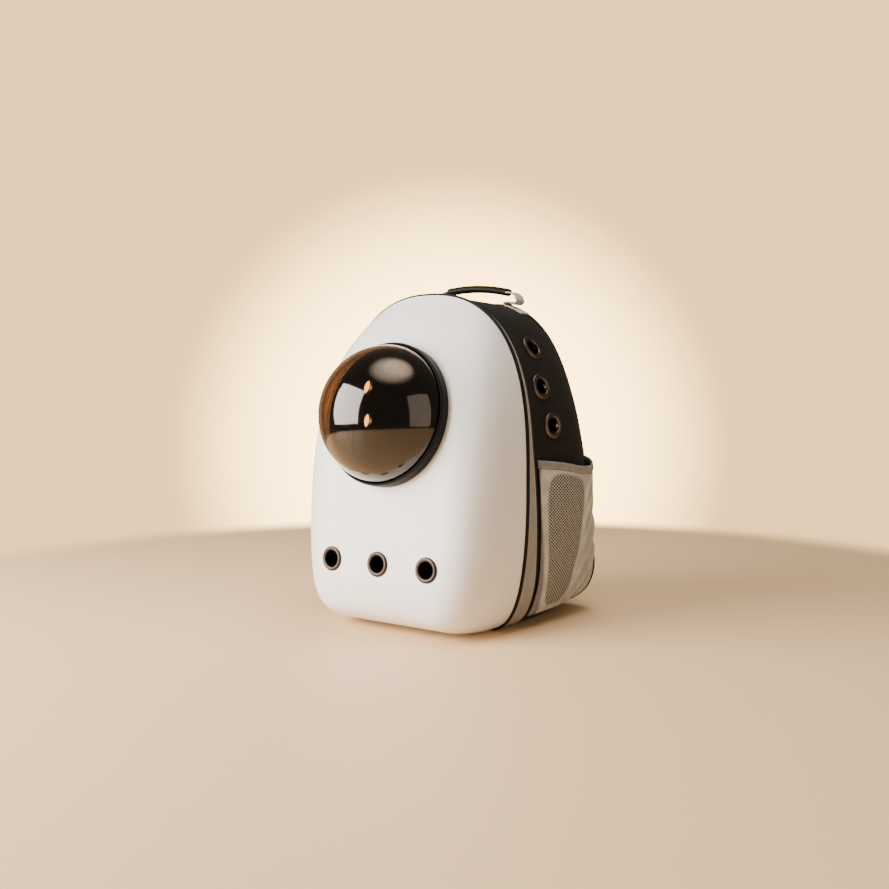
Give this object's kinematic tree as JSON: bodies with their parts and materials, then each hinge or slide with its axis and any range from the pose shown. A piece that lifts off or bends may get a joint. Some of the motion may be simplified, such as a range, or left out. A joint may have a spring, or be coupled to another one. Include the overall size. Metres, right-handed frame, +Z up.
{
  "type": "bubble pet carrier backpack",
  "caption": "Backpack for carrying a small pet: moulded white shell with a smoky domed window, metal air vents, soft black gusset, mesh side pockets, padded back, straps and top handle.",
  "frame": {"origin": "on the flat base, in the middle of the width, 95 mm behind the seam between shell and soft body", "axes": "+Z up, -Y out of the front shell, +Y towards the wearer's back, +X to the right as the front is looked at"},
  "size_m": [0.3396, 0.3815, 0.4408],
  "materials": {
    "shell": "glossy off-white moulded plastic",
    "ring": "satin black moulded plastic",
    "dome": "clear smoky amber acrylic",
    "eyelet": "gunmetal, satin",
    "eyelet_dark": "dark bronze, satin",
    "piping": "black cord piping",
    "band": "pale grey woven trim",
    "zip_tape": "black zip",
    "zip_metal": "dark metal",
    "gusset": "black woven cloth",
    "padding": "black padded mesh cloth",
    "mesh": "grey knitted mesh",
    "binding": "pale grey binding",
    "grip": "soft black grip sleeve",
    "webbing": "pale grey webbing",
    "strap": "black webbing",
    "buckle": "black plastic"
  },
  "bodies": {
    "carrier": {"front_shell": "shell", "front_eyelet_left": "eyelet_dark", "front_eyelet_middle": "eyelet_dark", "front_eyelet_right": "eyelet_dark", "shell_piping": "piping", "trim_band": "band", "main_zip": "zip_tape", "zip_slider": "zip_metal", "gusset_panel": "gusset", "side_eyelet_right_top": "eyelet", "side_eyelet_left_top": "eyelet", "side_eyelet_right_middle": "eyelet", "side_eyelet_left_middle": "eyelet", "side_eyelet_right_low": "eyelet", "side_eyelet_left_low": "eyelet", "back_piping": "piping", "back_panel": "padding", "side_pocket_right": "mesh", "pocket_rim_right": "binding", "side_pocket_left": "mesh", "pocket_rim_left": "binding", "handle_grip": "grip", "handle_webbing_right": "webbing", "handle_webbing_left": "webbing", "shoulder_pad_right": "padding", "shoulder_pad_left": "padding", "strap_webbing_right": "strap", "strap_webbing_left": "strap", "strap_adjuster_right": "buckle", "strap_adjuster_left": "buckle"},
    "bubble": {"window_ring": "ring", "bubble_window": "dome"}
  },
  "joints": [
    {"name": "bubble_lift_off", "type": "slide", "parent": "carrier", "child": "bubble", "axis": [0, -0.9763, 0.2164], "range_m": [0, 0.12]}
  ]
}
